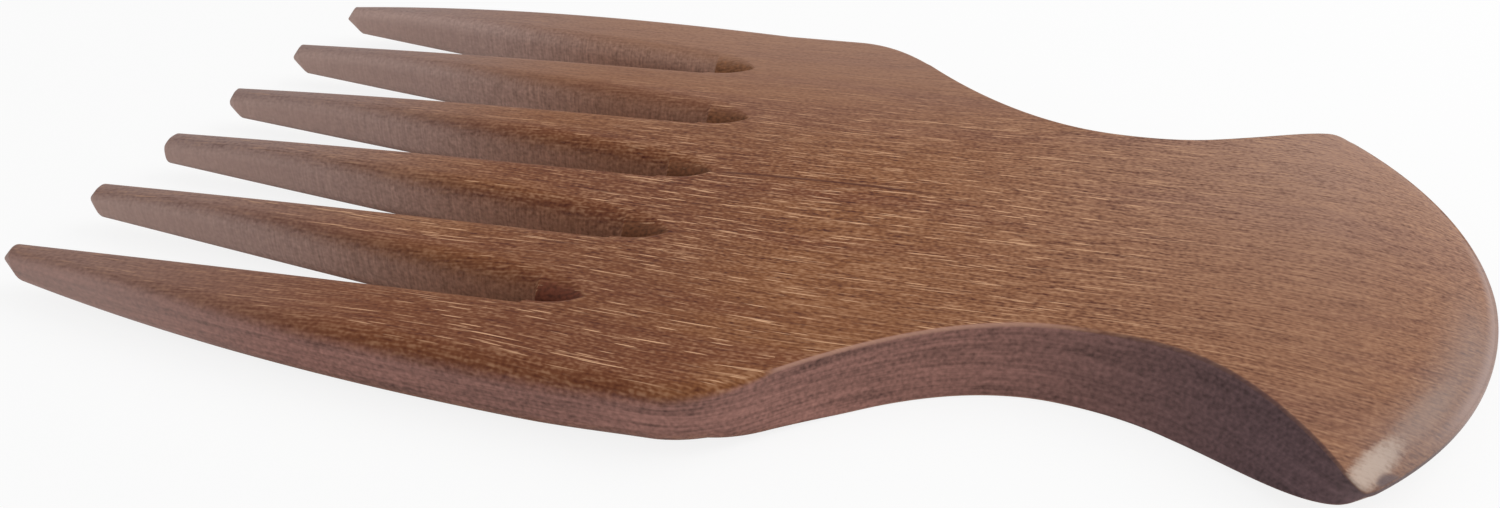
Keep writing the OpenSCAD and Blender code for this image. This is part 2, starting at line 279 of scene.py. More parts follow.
def cubic(points, t):
    """A cubic curve through its first and last points, pulled by the two between them by 3 (1 - t) ^ 2 t and
    3 (1 - t) t ^ 2, as an array of one row per t."""
    t = np.asarray(t)[:, None]
    p = np.asarray(points)
    return (1 - t) ** 3 * p[0] + 3 * (1 - t) ** 2 * t * p[1] + 3 * (1 - t) * t ** 2 * p[2] + t ** 3 * p[3]


def bend(p, corner, q, t):
    """A corner from p to q, rounded off inside its sharp point, which pulls by 2 (1 - t) t."""
    t = np.asarray(t)[:, None]
    return (1 - t) ** 2 * p + 2 * (1 - t) * t * corner + t ** 2 * q


def low_z(pick, x):
    """The under face: level, and up towards the tips by a power of the way."""
    board, tines = pick.board, pick.tines
    out = clamp01((-x - board.taper_x) / (tines.reach - board.taper_x))
    return (board.palm_t - tines.tip_t) / 2 * out ** board.thin_power


def top_z(pick, x):
    """The upper face: up evenly to the handle's full height, and down towards the tips by as much as the
    under face comes up."""
    board = pick.board
    rise = clamp01((x + board.taper_x) / (board.taper_x + board.full_x))
    return mix(board.palm_t, board.handle_t, rise) - low_z(pick, x)


def side_y(pick, x):
    """Half the comb's width: an arc that is widest at the bow."""
    board = pick.board
    return board.shoulder_w / 2 + (board.bow_x ** 2 - (x + board.bow_x) ** 2) / (2 * board.side_r)


def tine_pitch(pick):
    """Six tips and the five gaps between them fill the comb's width at its front."""
    tines = pick.tines
    return 2 * (side_y(pick, -tines.reach) + tines.tip_w / 2 - tines.outer_tip_w) / len(GULLETS)


def gullet_y(pick, k):
    """The middle line of gullet k, a whole number of pitches from the middle one."""
    return (k - len(TINES) / 2) * tine_pitch(pick)


def root_x(pick, k):
    """Distance from the shoulders to the root of gullet k, where its scoop begins."""
    return pick.tines.outer_root_x if k in (GULLETS[0], GULLETS[-1]) else pick.tines.inner_root_x


def scooped(pick, k, x):
    """How far along its scoop a place is: 0 at the root, 1 at the end of the saw cut."""
    return clamp01((-x - root_x(pick, k)) / pick.tines.scoop_l)


def sawn(pick, k, x, start):
    """How far from the scoop to the tips a place is."""
    from_root = -x - root_x(pick, k)
    return clamp01((from_root - start) / (pick.tines.reach - root_x(pick, k) - start))


def round_end(pick, k, x):
    """Half the width of the saw cut's round end: a quarter circle, and its radius from there on."""
    tines = pick.tines
    return tines.cut_end_r * bulge((-x - root_x(pick, k) - tines.scoop_l) / tines.cut_end_r, 2)


def cut_y(pick, k, x):
    """Half the width of the saw cut: a round end, then a flare to the tips by a power of the way."""
    tines = pick.tines
    gap = (tine_pitch(pick) - tines.tip_w) / 2
    flare = 1 - (1 - sawn(pick, k, x, tines.scoop_l + tines.cut_end_r)) ** tines.flare_power
    return round_end(pick, k, x) + (gap - tines.cut_end_r) * flare


def edge_w(pick, k, x):
    """Width of a gullet's rounding. It is wider where the saw cut ends, so that the opening in the face
    narrows to the root without a step."""
    tines = pick.tines
    full = tines.cut_end_r + mix(tines.edge_root_w, tines.edge_tip_w, sawn(pick, k, x, tines.scoop_l))
    return full * bulge(scooped(pick, k, x), tines.scoop_power) - round_end(pick, k, x)


def edge_t(pick, k, x):
    """Depth of a gullet's rounding: evenly from the root's to the tip's, times the way along the scoop."""
    tines = pick.tines
    return mix(tines.edge_root_t, tines.edge_tip_t, sawn(pick, k, x, tines.scoop_l)) * scooped(pick, k, x)


def upper_fade(pick, x):
    """The outer rounding above fades to a crisp arris just behind the shoulders, by the root of the way."""
    scoop_l, taper_x = pick.tines.scoop_l, pick.board.taper_x
    return np.sqrt(clamp01((scoop_l - x) / (scoop_l + taper_x)))


def under_fade(pick, x):
    """The outer rounding underneath fades out further back, by the square of the way."""
    return clamp01((pick.board.under_fade_x - x) / pick.board.under_fade_x) ** 2


def swell(x):
    """Underneath, the rounding swells from the palm's front to the shoulders, by 3 t ^ 2 - 2 t ^ 3."""
    way = clamp01(1 - x / HEAD_FRONT)
    return way * way * (3 - 2 * way)


def outer_size(pick, x, below, at_shoulder, at_tip, under_shoulder):
    """Width or depth of the outer rounding. It shrinks evenly from the shoulders to the tips, swells
    underneath to the size under the shoulders, and is never less than the arris."""
    full = mix(at_shoulder, at_tip, clamp01(-x / pick.tines.reach))
    size = mix(full, under_shoulder, swell(x)) * under_fade(pick, x) if below else full * upper_fade(pick, x)
    return np.maximum(pick.board.arris_w, size)


def outer_w(pick, x, below):
    """Width of the outer rounding."""
    board, tines = pick.board, pick.tines
    return outer_size(pick, x, below, board.side_edge_w, tines.edge_tip_w, board.under_edge_w)


def outer_t(pick, x, below):
    """Depth of the outer rounding."""
    board, tines = pick.board, pick.tines
    return outer_size(pick, x, below, tines.edge_root_t, tines.edge_tip_t, board.under_edge_t)


def deepest(pick, x):
    """The most that a rounding may take off: a share of half the thickness."""
    return pick.tines.rounding_share * (top_z(pick, x) - low_z(pick, x)) / 2


# Rows across the board are arrays of station, point and channel, and the last four channels are marks
CHANNELS = range(6)
Y, DEPTH, SIDE, SAWN, SCOOP, ARRIS = CHANNELS
MARKS = ("side", "sawn", "scoop", "arris")


def rounding(pick, width, depth, v_share, side=0, cut=0, scoop=0, arris=0):
    """A quarter of rounding from wall to face. It is a quarter ellipse along a tine, and opens into a plain V
    at the end of a scoop: inset = width * mix(1 - cos a, a / 90, v) and depth = depth * mix(1 - sin a,
    1 - a / 90, v). The marks say what kind of surface it is. They fade out towards the face, and the arris is
    marked midway, by 4 f (1 - f)."""
    angle = np.linspace(0, QUARTER, pick.counts.turns)[None, :]
    quarter = np.zeros((len(width), pick.counts.turns, len(CHANNELS)))
    quarter[..., Y] = width * mix(1 - np.cos(angle), angle / QUARTER, v_share)
    quarter[..., DEPTH] = depth * mix(1 - np.sin(angle), 1 - angle / QUARTER, v_share)
    fade = 1 - angle / QUARTER
    quarter[..., SIDE] = fade * side
    quarter[..., SAWN] = fade * cut
    quarter[..., SCOOP] = fade * scoop
    quarter[..., ARRIS] = 4 * fade * (1 - fade) * arris
    return quarter


def outer_rounding(pick, x, below, shrink=1, most=None):
    """The rounding of an outer side. It is marked as an arris where it is hardly wider than one."""
    width = outer_w(pick, x, below)
    depth = np.minimum(outer_t(pick, x, below), deepest(pick, x) if most is None else most)
    crisp = clamp01(2 - width / pick.board.arris_w)
    return rounding(pick, width * shrink, depth, 0, side=1, arris=crisp)


def in_scoop(reached):
    """The scoop's mark: full from an eighth of the way to the saw cut's end, and none in the cut."""
    return clamp01(reached * 8) * (reached < 1)


def gullet_rounding(pick, k, x, shrink=1):
    """The rounding of a gullet's side: a V in the scoop, and a quarter ellipse along the saw cut."""
    reached = scooped(pick, k, x)
    return rounding(pick, edge_w(pick, k, x) * shrink, np.minimum(edge_t(pick, k, x), deepest(pick, x)),
                    1 - reached, cut=reached == 1, scoop=in_scoop(reached))


def from_high(y, quarter):
    """Lays a rounding inwards from the +Y side."""
    row = quarter.copy()
    row[..., Y] = y - quarter[..., Y]
    return row


def from_low(y, quarter):
    """Lays a rounding inwards from the -Y side."""
    row = quarter[:, ::-1].copy()
    row[..., Y] = y + row[..., Y]
    return row


def flat_between(high, low, count):
    """Points on the face between two roundings, without the roundings' own last points."""
    t = np.linspace(0, 1, count + 2)[1:-1][None, :, None]
    return mix(high[:, -1:], low[:, :1], t)


def joined(pick, parts):
    """Roundings laid from high to low, with face points between each pair."""
    row = [parts[0]]
    for high, low in zip(parts[:-1], parts[1:]):
        row += [flat_between(high, low, pick.counts.flats), low]
    return np.concatenate(row, axis=1)


def tine_row(pick, i, x, below):
    """A tine's face from its +Y side to its -Y side."""
    outermost, innermost = i == len(TINES), i == 1
    high = side_y(pick, x) if outermost else gullet_y(pick, i) - cut_y(pick, i, x)
    low = -side_y(pick, x) if innermost else gullet_y(pick, i - 1) + cut_y(pick, i - 1, x)
    high_w = outer_w(pick, x, below) if outermost else edge_w(pick, i, x)
    low_w = outer_w(pick, x, below) if innermost else edge_w(pick, i - 1, x)
    shrink = np.minimum(1, pick.tines.rounding_share * (high - low) / (high_w + low_w))
    upper = outer_rounding(pick, x, below, shrink) if outermost else gullet_rounding(pick, i, x, shrink)
    lower = outer_rounding(pick, x, below, shrink) if innermost else gullet_rounding(pick, i - 1, x, shrink)
    return joined(pick, [from_high(high, upper), from_low(low, lower)])


def head_row(pick, x, y, below):
    """The palm's face, across all five scoops. Past a root the scoop's points lie on the flat face."""
    parts = [from_high(y, outer_rounding(pick, x, below))]
    for k in reversed(GULLETS):
        reached = scooped(pick, k, x)
        width = np.maximum(edge_w(pick, k, x), pick.board.arris_w)
        quarter = rounding(pick, width, edge_t(pick, k, x), 1 - reached, scoop=in_scoop(reached))
        parts.append(np.concatenate([from_low(gullet_y(pick, k), quarter),
                                     from_high(gullet_y(pick, k), quarter)[:, 1:]], axis=1))
    parts.append(from_low(-y, outer_rounding(pick, x, below)))
    return joined(pick, parts)


def closed_rings(x, top_row, top_heights, low_row, low_heights):
    """Closed sections: each goes along its top row and back along its lower row. Returns the points and the
    four marks of each point."""
    top = np.stack(np.broadcast_arrays(x, top_row[..., Y], top_heights - top_row[..., DEPTH]), axis=-1)
    low = np.stack(np.broadcast_arrays(x, low_row[..., Y], low_heights + low_row[..., DEPTH]), axis=-1)
    marks = np.concatenate([top_row[..., SIDE:], low_row[:, ::-1, SIDE:]], axis=1)
    return np.concatenate([top, low[:, ::-1]], axis=1), marks


def skin(name, rings, marks, spare):
    """Skins rows of closed rings that run along +X into a closed mesh whose normals are worked out from the
    grid. A spare ring before the first or after the last lends the normals there the next part's slope, so
    that the board runs on smoothly across a split."""
    along = np.gradient(rings, axis=0)
    around = np.roll(rings, -1, axis=1) - np.roll(rings, 1, axis=1)
    normals = np.cross(around, along)
    normals /= np.maximum(np.linalg.norm(normals, axis=-1, keepdims=True), 1e-12)
    keep = slice(spare[0], len(rings) - spare[1])
    rings, marks, normals = rings[keep], marks[keep], normals[keep]

    count, around_n = rings.shape[:2]
    index = np.arange(count * around_n).reshape(count, around_n)
    beside = np.roll(index, -1, axis=1)
    sides = np.stack([index[:-1], beside[:-1], beside[1:], index[1:]], axis=-1).reshape(-1, 4)
    half = around_n // 2
    top, low = index[:, :half], index[:, ::-1][:, :half]
    front = np.stack([top[0, :-1], low[0, :-1], low[0, 1:], top[0, 1:]], axis=-1)
    back = np.stack([top[-1, :-1], top[-1, 1:], low[-1, 1:], low[-1, :-1]], axis=-1)
    faces = np.concatenate([sides, front, back])

    mesh = bpy.data.meshes.new(name)
    mesh.from_pydata((rings.reshape(-1, 3) + [SHOULDER_X, 0, 0]).tolist(), [], faces.tolist())
    corner_normals = normals.reshape(-1, 3)[sides.reshape(-1)]
    ends = np.repeat([[-1.0, 0.0, 0.0], [1.0, 0.0, 0.0]], [front.size, back.size], axis=0)
    mesh.shade_smooth()
    mesh.normals_split_custom_set(np.concatenate([corner_normals, ends]).tolist())
    for channel, mark in enumerate(MARKS):
        layer = mesh.attributes.new(mark, "FLOAT", "POINT")
        layer.data.foreach_set("value", marks[..., channel].reshape(-1).astype(np.float32))
    return mesh


def add_piece(pick, name, node, mesh):
    """Puts a mesh in the scene in place of its CAD node. All pieces share one wood."""
    mesh.materials.append(bpy.data.materials.get("oiled_hardwood") or Hardwood(pick.wood).oiled())
    piece = bpy.data.objects.new(name, mesh)
    bpy.context.scene.collection.objects.link(piece)
    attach(piece, "root")
    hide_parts(node)


def spread(start, end, step):
    """Even stations from start to end, no further apart than the step."""
    return np.linspace(start, end, max(2, int(np.ceil(abs(end - start) / step)) + 1))


def thinned_out(stations, least):
    """Sorts stations and drops those that lie closer than the least distance behind the one before."""
    ordered = np.sort(stations)
    kept = np.concatenate([[True], np.diff(ordered) > least])
    kept[-1] = True
    kept[-2] = kept[-2] and ordered[-1] - ordered[-2] > least
    return ordered[kept]


def tine_stations(pick, point_l):
    """Stations from the blunt point's start to the palm, with more round the ends of the saw cuts, and none
    closer together than a thirtieth of the step."""
    tines, step = pick.tines, pick.counts.step
    roots = np.array([tines.outer_root_x, tines.inner_root_x])
    ends = -(roots + tines.scoop_l)
    turn = np.linspace(0, QUARTER, CUT_END_N)
    round_ends = (ends[:, None] - tines.cut_end_r * (1 - np.cos(turn))[None, :]).reshape(-1)
    stations = np.concatenate([spread(point_l - tines.reach, HEAD_FRONT, step),
                               round_ends[round_ends < HEAD_FRONT]])
    return thinned_out(stations, step / 30)


def tine_rings(pick, i):
    """Rings of one tine. Its blunt point shrinks the sections about their own middles to a small flat end.
    Each point is bevelled by hand: a place's bevel is as long as its height in the section says, between the
    length of the bevel above and that of the bevel below."""
    tines = pick.tines
    upper, under, end = tines.upper_bevel[i - 1], tines.under_bevel[i - 1], tines.blunt[i - 1]
    stations = tine_stations(pick, max(upper, under))
    point = np.linspace(-tines.reach, stations[0], POINT_N)[:-1]
    x = np.concatenate([point, stations, [2 * HEAD_FRONT - stations[-2]]])[:, None]
    rings, marks = closed_rings(x, tine_row(pick, i, x, False), top_z(pick, x),
                                tine_row(pick, i, x, True), low_z(pick, x))
    middles = rings.mean(axis=1, keepdims=True)
    height = (rings[0] - middles[0]) @ BEVEL_FACES
    bevel = mix(under, upper, clamp01(0.5 + height / np.ptp(height)))
    size = mix(end, 1, bulge((x + tines.reach) / bevel, BEVEL_POWER))[..., None]
    return hand_cut(pick, i, mix(middles, rings, size)), marks


def hand_cut(pick, i, rings):
    """No two tines are quite alike: each leans and ends a little elsewhere, more and more towards its tip,
    by the square of the way out."""
    out = clamp01((rings[..., 0] - HEAD_FRONT) / (-pick.tines.reach - HEAD_FRONT)) ** 2
    rings[..., 1] += pick.tines.sway[i - 1] * out
    rings[..., 0] += pick.tines.short[i - 1] * out
    return rings


def outline(pick):
    """The shoulder, the horn, and the curves of the flank, to the waist, and of the horn, from the waist."""
    handle = pick.handle
    shoulder = np.array([0, pick.board.shoulder_w / 2])
    waist = np.array([handle.waist_x, handle.waist_w / 2])
    horn = np.array([handle.horn_x, handle.horn_w / 2])
    back_l = handle.horn_x - handle.waist_x
    flank_curve = [shoulder, shoulder + handle.flank_pull * handle.waist_x * heading(-handle.flank_angle),
                   waist - [handle.waist_front_pull * handle.waist_x, 0], waist]
    horn_curve = [waist, waist + [handle.waist_back_pull * back_l, 0],
                  horn - handle.horn_pull * back_l * heading(handle.horn_angle), horn]
    return shoulder, horn, flank_curve, horn_curve


def tail_arc(pick):
    """Radius, middle and half turn of the arc through both horns and the tail's end."""
    handle = pick.handle
    rise = handle.reach - handle.horn_x
    radius = ((handle.horn_w / 2) ** 2 + rise ** 2) / (2 * rise)
    middle = handle.reach - radius
    return radius, middle, np.arctan2(handle.horn_w / 2, handle.horn_x - middle)


def shoulder_corner(pick):
    """The three points that the rounded shoulder is bent through."""
    shoulder, _, flank_curve, _ = outline(pick)
    back = cubic(flank_curve, [pick.handle.shoulder_share])[0]
    front = np.array([-back[0], side_y(pick, -back[0])])
    return front, shoulder, back


def edge_stations(pick):
    """Half outline behind the palm's front: arrays of x and half width, split at the shoulders' middle."""
    handle, step = pick.handle, pick.counts.step
    front, shoulder, back = shoulder_corner(pick)
    _, horn, flank_curve, horn_curve = outline(pick)
    radius, middle, turn = tail_arc(pick)
    side_x = spread(HEAD_FRONT, front[0], step / 2)
    side = np.stack([side_x, side_y(pick, side_x)], axis=-1)
    corner = bend(front, shoulder, back, np.linspace(0, 1, CORNER_N))
    flank = cubic(flank_curve, np.linspace(handle.shoulder_share, 1, FLANK_N))
    to_horn = cubic(horn_curve, np.linspace(0, 1 - handle.horn_share, HORN_CURVE_N))
    tail_turns = np.linspace(turn * (1 - handle.horn_share), turn * TAIL_STOP, TAIL_N)
    tail = [middle, 0] + radius * heading(tail_turns)
    round_horn = bend(to_horn[-1], horn, tail[0], np.linspace(0, 1, HORN_N))
    split = CORNER_N // 2
    palm = np.concatenate([side, corner[1:split + 1]])
    fishtail = np.concatenate([corner[split:], flank[1:], to_horn[1:], round_horn[1:], tail[1:]])
    return palm, fishtail


def fullness(pick, x, y):
    """How much of the thickness is left: all up to the waist, then less and less towards the tail's rim."""
    radius, middle, _ = tail_arc(pick)
    from_rim = radius - np.hypot(np.maximum(x - middle, 0), y)
    return np.where(x < pick.handle.waist_x, 1, bulge(from_rim / pick.handle.nose_l, pick.handle.nose_power))


def upper_z(pick, x, y):
    """The handle's upper face: its height above the rim times the fullness, and at least half the rim."""
    rim_z, rim_t = pick.handle.rim_z, pick.handle.rim_t
    return rim_z + np.maximum((top_z(pick, x) - rim_z) * fullness(pick, x, y), rim_t / 2)


def under_z(pick, x, y):
    """The handle's under face: its depth below the rim times the fullness, and at least half the rim."""
    rim_z, rim_t = pick.handle.rim_z, pick.handle.rim_t
    return rim_z - np.maximum((rim_z - low_z(pick, x)) * fullness(pick, x, y), rim_t / 2)


def handle_rings(pick, stations):
    """Rings of the handle: worn arrises between leaning walls and faces that round over to the tail's rim."""
    x, y = stations[:, :1], stations[:, 1:]
    wall_h = upper_z(pick, x, y) - under_z(pick, x, y)
    lean = pick.handle.lean_share * clamp01(x / pick.handle.horn_x) ** 2 * (wall_h - pick.handle.rim_t) / 2
    across = pick.counts.across
    sweep = np.sin(QUARTER * np.arange(across - 1, -across, -1) / across)[None, :]
    rows = []
    for edge, below in ((y - lean, False), (y + lean, True)):
        quarter = outer_rounding(pick, x, below, most=pick.tines.rounding_share * wall_h / 2)
        face = np.zeros((len(x), sweep.shape[1], len(CHANNELS)))
        face[..., Y] = (edge - quarter[:, -1:, Y]) * sweep
        rows.append(np.concatenate([from_high(edge, quarter), face, from_low(-edge, quarter)], axis=1))
    top_row, low_row = rows
    tops = upper_z(pick, x, np.minimum(abs(top_row[..., Y]), y))
    lows = under_z(pick, x, np.minimum(abs(low_row[..., Y]), y))
    return closed_rings(x, top_row, tops, low_row, lows)


# Materials
class Wire:
    """A socket of a node tree. Arithmetic on it adds Math nodes to the tree."""

    def __init__(self, finish, socket):
        self.finish = finish
        self.socket = socket

    def math(self, operation, *values):
        return self.finish.add("Math", {"operation": operation}, dict(enumerate(values)))

    def part(self, name):
        """Another output of the same node."""
        return Wire(self.finish, self.socket.node.outputs[name])

    def __add__(self, other):
        return self.math("ADD", self, other)

    def __sub__(self, other):
        return self.math("SUBTRACT", self, other)

    def __rsub__(self, other):
        return self.math("SUBTRACT", other, self)

    def __mul__(self, other):
        return self.math("MULTIPLY", self, other)

    def __abs__(self):
        return self.math("ABSOLUTE", self)

    def most(self, other):
        """The larger of two values."""
        return self.math("MAXIMUM", self, other)

    def swing(self, weight):
        """Makes a noise round 0.5 a change up or down, by half the weight at most."""
        return (self - 0.5) * weight

    def over(self, start_mm, end_mm):
        """Goes smoothly from 0 to 1 between two places in millimetres."""
        return self.ramp(start_mm * MM, end_mm * MM)

    def ramp(self, start, end):
        """Goes smoothly from 0 at start to 1 at end."""
        down = start > end
        return self.finish.add("MapRange", {"interpolation_type": "SMOOTHSTEP"}, {
            "Value": self, "From Min": min(start, end), "From Max": max(start, end), "To Min": float(down),
            "To Max": float(not down)})

    __radd__ = __add__
    __rmul__ = __mul__


class Finish:
    """A node tree under construction, of a material or of the world."""

    def __init__(self, owner):
        owner.use_nodes = True
        self.owner = owner
        self.tree = owner.node_tree
        self.tree.nodes.clear()

    def add(self, kind, settings, sockets, output=0):
        """Adds a node of a kind. Its settings come first, then its sockets, each by name or by number, which
        take a value or a wire."""
        node = self.tree.nodes.new("ShaderNode" + kind)
        for name, value in settings.items():
            setattr(node, name, value)
        for name, value in sockets.items():
            if isinstance(value, Wire):
                self.tree.links.new(value.socket, node.inputs[name])
            else:
                node.inputs[name].default_value = value
        return Wire(self, node.outputs[output] if node.outputs else None)

    def mark(self, name):
        """Reads one of the surface's own marks."""
        return self.add("Attribute", {"attribute_name": name}, {}, "Fac")

    def cells(self, vector, cell_mm):
        """Counts a place in cells of the given size in millimetres."""
        return self.add("VectorMath", {"operation": "MULTIPLY"},
                        {0: vector, 1: tuple(1 / (MM * side) for side in cell_mm)})

    def slanted(self, vector, cell_mm):
        """Counts a place in cells whose rows begin a little further on, one after the other, so that the ends
        of long cells don't line up across the grain."""
        cells = self.cells(vector, cell_mm)
        across = self.add("SeparateXYZ", {}, {"Vector": cells}, "Y")
        pushed = self.add("CombineXYZ", {}, {"X": (across + across.part("Z")) * ROW_SLANT})
        return self.add("VectorMath", {"operation": "ADD"}, {0: cells, 1: pushed})

    def noise(self, cells, detail=2):
        """Noise round 0.5 whose blobs are about as large as the cells."""
        return self.add("TexNoise", {}, {"Vector": cells, "Scale": 1, "Detail": detail})

    def streaks(self, vector, cell_mm, reach, chosen):
        """Short streaks: ellipsoids that reach so far round the points of a stretched cell pattern, in a
        chosen share of the cells, each with its own strength."""
        cells = self.add("TexVoronoi", {}, {"Vector": self.slanted(vector, cell_mm), "Scale": 1}, "Distance")
        own = self.add("SeparateColor", {}, {"Color": cells.part("Color")})
        return cells.ramp(reach, reach * 0.6) * own.ramp(1 - chosen, 1)

    def blend(self, factor, first, second):
        """Mixes two colours, which may be wires or plain colours."""
        first, second = (value if isinstance(value, Wire) else (*value, 1) for value in (first, second))
        return self.add("Mix", {"data_type": "RGBA"}, {0: factor, 6: first, 7: second}, 2)

    def shade(self, tone, factor):
        """Lightens or darkens a colour by a factor round 1."""
        return self.add("VectorMath", {"operation": "SCALE"}, {0: tone, "Scale": factor})

    def seen_white(self):
        """1 where the camera looks, straight or by way of a mirror or glass, and 0 for light on the pick."""
        rays = self.add("LightPath", {}, {}, "Is Camera Ray")
        return rays.most(rays.part("Is Glossy Ray")).most(rays.part("Is Transmission Ray"))

    def done(self, shader, kind="OutputMaterial"):
        self.add(kind, {}, {"Surface": shader})
        return self.owner


class Hardwood(Finish):
    """Oiled hardwood. All of it follows the board in Object coordinates, so that the grain runs on from the
    tines into the tail, and the surface's marks say where it was planed, sawn, scooped or worn. Some of its
    colours are painted sheen, painted highlights and painted shade."""

    def __init__(self, wood):
        super().__init__(bpy.data.materials.new("oiled_hardwood"))
        self.wood = wood
        self.place = self.add("TexCoord", {}, {}, "Object")
        self.x = self.add("SeparateXYZ", {}, {"Vector": self.place}, "X")
        self.y, self.z = self.x.part("Y"), self.x.part("Z")
        self.side, self.rough, self.scoop, self.arris = (self.mark(name) for name in MARKS)
        self.grain = self.wandering_grain()

        self.lines = self.noise(self.slanted(self.grain, (14, 0.26, 0.8)), detail=0)
        self.fibres = self.noise(self.slanted(self.grain, (3.4, 0.23, 0.5)), detail=0)
        self.pits = self.noise(self.cells(self.grain, (0.50, 0.28, 0.4)), detail=0)
        self.torn = self.noise(self.cells(self.place, (0.4, 0.4, 0.4)))
        self.stripes = self.noise(self.cells(self.place, (0.26, 3, 3)))
        self.pores = self.streaks(self.grain, (7, 0.24, 0.6), reach=0.42, chosen=0.5)

        # The far side, over which several layers paint a sheen.
        self.far_off = self.y.over(0, 44)
        self.near_tips = self.x.over(-32, -66)
        self.nose = self.x.over(60, 70)
        self.above = self.z.over(2.5, 3.5)

    def wandering_grain(self):
        """The board's places, turned to the grain and pushed sideways by a slow drift."""
        drift = self.noise(self.cells(self.place, (45, 22, 30)), detail=1)
        turned = self.add("VectorRotate", {"rotation_type": "Z_AXIS"},
                          {"Vector": self.place, "Angle": self.wood.grain_turn})
        wander = self.add("CombineXYZ", {}, {"Y": drift.swing(self.wood.grain_wander)})
        return self.add("VectorMath", {"operation": "ADD"}, {0: turned, 1: wander})

    def faces(self):
        """The planed faces: bands of growth, dark roots, a painted sheen that pales the far side and the
        tail, and a painted sheen that greys the tips.
        """
        x, y, wood = self.x, self.y, self.wood
        bands = self.noise(self.cells(self.grain, (60, 6, 9)))
        growth = self.noise(self.cells(self.grain, (40, 1.3, 3)))
        red_edge = y.over(-29, -36) * x.over(10, -4)
        tone = self.blend((bands + red_edge * -0.3).ramp(0.36, 0.56), wood.ruddy, wood.heart)
        tone = self.blend(growth.ramp(0.42, 0.75) * (0.18 - red_edge * 0.1), tone, wood.tan)
        at_roots = x.over(10, -6) * x.over(-36, -14) * y.over(24, -4)
        tone = self.blend(at_roots * 0.7, tone, wood.root)
        # Painted sheen: the far side and the tail go towards a paler colour.
        painted_sheen = x.over(8, 68) * (0.28 + 0.52 * y.over(-22, 24)) * (1 - 0.20 * self.nose)
        tone = self.blend(painted_sheen.most(self.far_off * 0.65), tone, wood.pale)
        # Painted sheen greys the tops towards the tips, less on the near side.
        return self.blend(x.over(-24, -70) * (0.60 + 0.40 * y.over(-38, 0)), tone, wood.tip_sheen)

    def open_grain(self, tone):
        """Dark pores and pale flecks, strongest over the near part of the comb, where the grain is open."""
        x, y, wood = self.x, self.y, self.wood
        comb = (0.25 + 0.75 * x.over(-62, -8)) * x.over(66, 20)
        opened = comb * (y - x * 0.2).over(30, 2) * (1 - 0.3 * y.over(-14, -28))
        fine = self.lines.swing(0.5) + self.fibres.swing(1.3) + self.pits.swing(1.3)
        fine += self.torn.swing(0.6 + self.nose * 0.9)
        fine *= 0.30 + 0.34 * x.over(20, 50) + 0.70 * opened
        tone = self.blend(fine * -1.3, tone, wood.pore)
        tone = self.blend(fine * 0.50, tone, wood.fleck)
        tone = self.blend(self.pores * (0.10 + 0.20 * opened), tone, wood.pore)
        long_flecks = self.streaks(self.grain, (9, 0.20, 0.6), reach=0.40, chosen=0.20)
        short_flecks = self.streaks(self.grain, (3.6, 0.20, 0.5), reach=0.40, chosen=0.28)
        specks = self.streaks(self.grain, (1.1, 0.26, 0.4), reach=0.42, chosen=0.30)
        in_rows = self.noise(self.cells(self.grain, (110, 1.7, 30))).ramp(0.42, 0.62)
        flecks = (long_flecks + short_flecks) * (1.1 + 0.5 * in_rows) * (0.10 + 0.9 * opened)
        flecks *= self.side.most(self.rough).ramp(0.5, 0.05)
        return self.blend(flecks + specks * (0.12 * opened + 0.25 * self.nose), tone, wood.fleck)

    def flanks(self, tone):
        """The planed walls along the sides: layered side grain greyed by a painted sheen, dark below the near
        horn with oil and painted shade, paler at the tail's end by a painted highlight, and paler at the tips
        by a painted sheen.
        """
        x, y, wood = self.x, self.y, self.wood
        layers = self.noise(self.cells(self.place, (7, 12, 0.34)), detail=3)
        strata = self.noise(self.cells(self.place, (18, 12, 1.5)))
        uneven = layers.swing(0.8 + 0.6 * x.over(50, 16)) + strata.swing(0.9)
        uneven += self.torn.swing(0.9) + self.pits.swing(0.7)
        # Painted shade, partly oil: the flank below the near horn goes towards the dark colour.
        flank = self.blend(x.over(22, 60) * y.over(0, -12), wood.flank, wood.horn)
        flank = self.shade(flank, 1.04 + uneven)
        # Painted highlight: the flank goes paler at the tail's end.
        flank = self.blend(x.over(70, 75) * 0.8, flank, wood.arris)
        # Painted sheen: the flank goes paler towards the tips, and the planed colour reaches further up
        # there.
        flank = self.blend(self.near_tips * 0.5, flank, wood.tip_wall_sheen)
        planed = self.side + self.near_tips * 0.3 + self.torn.swing(0.15)
        return self.blend(planed.ramp(0.50, 0.98), tone, flank)

    def gullet_walls(self, tone):
        """The gullets' walls, striped across by the saw, under roundings with a little painted shade, and
        paler by a painted sheen towards the tips and the far side.
        """
        wood = self.wood
        # Painted sheen: the sawn walls go paler towards the tips and the far side.
        wall = self.blend(self.x.over(-14, -56).most(self.far_off * 0.5), wood.sawn, wood.tip_wall_sheen)
        uneven = self.stripes.swing(0.9) + self.torn.swing(0.6) + self.pits.swing(0.5)
        wall = self.shade(wall, 1 + uneven * (1 - self.near_tips * 0.75))
        # Painted shade: the roundings above the walls go darker, on the near side of the comb.
        shaded = self.rough.ramp(0.10, 0.60) * (0.11 - self.near_tips * 0.05) * self.y.over(22, -6)
        tone = self.blend(shaded, tone, wood.horn)
        # Painted sheen: the pale wall colour reaches further up the roundings towards the tips and on the far
        # side.
        walled = self.rough + self.near_tips * 0.25 + self.far_off * 0.35 + self.torn.swing(0.25)
        return self.blend(walled.ramp(0.42, 1.1), tone, wall)

    def scoops(self, tone):
        """The oiled scoops at the gullets' roots, browner and paler towards the far side."""
        wood = self.wood
        cup = self.blend(self.y.over(-24, -16), wood.scoop, wood.burnt)
        cup = self.blend(self.far_off * 0.7, cup, wood.tan)
        cup = self.shade(cup, 1 + self.torn.swing(1.2) + self.pits.swing(1.0))
        return self.blend((self.scoop + self.torn.swing(0.5)).ramp(0.15, 0.55), tone, cup)

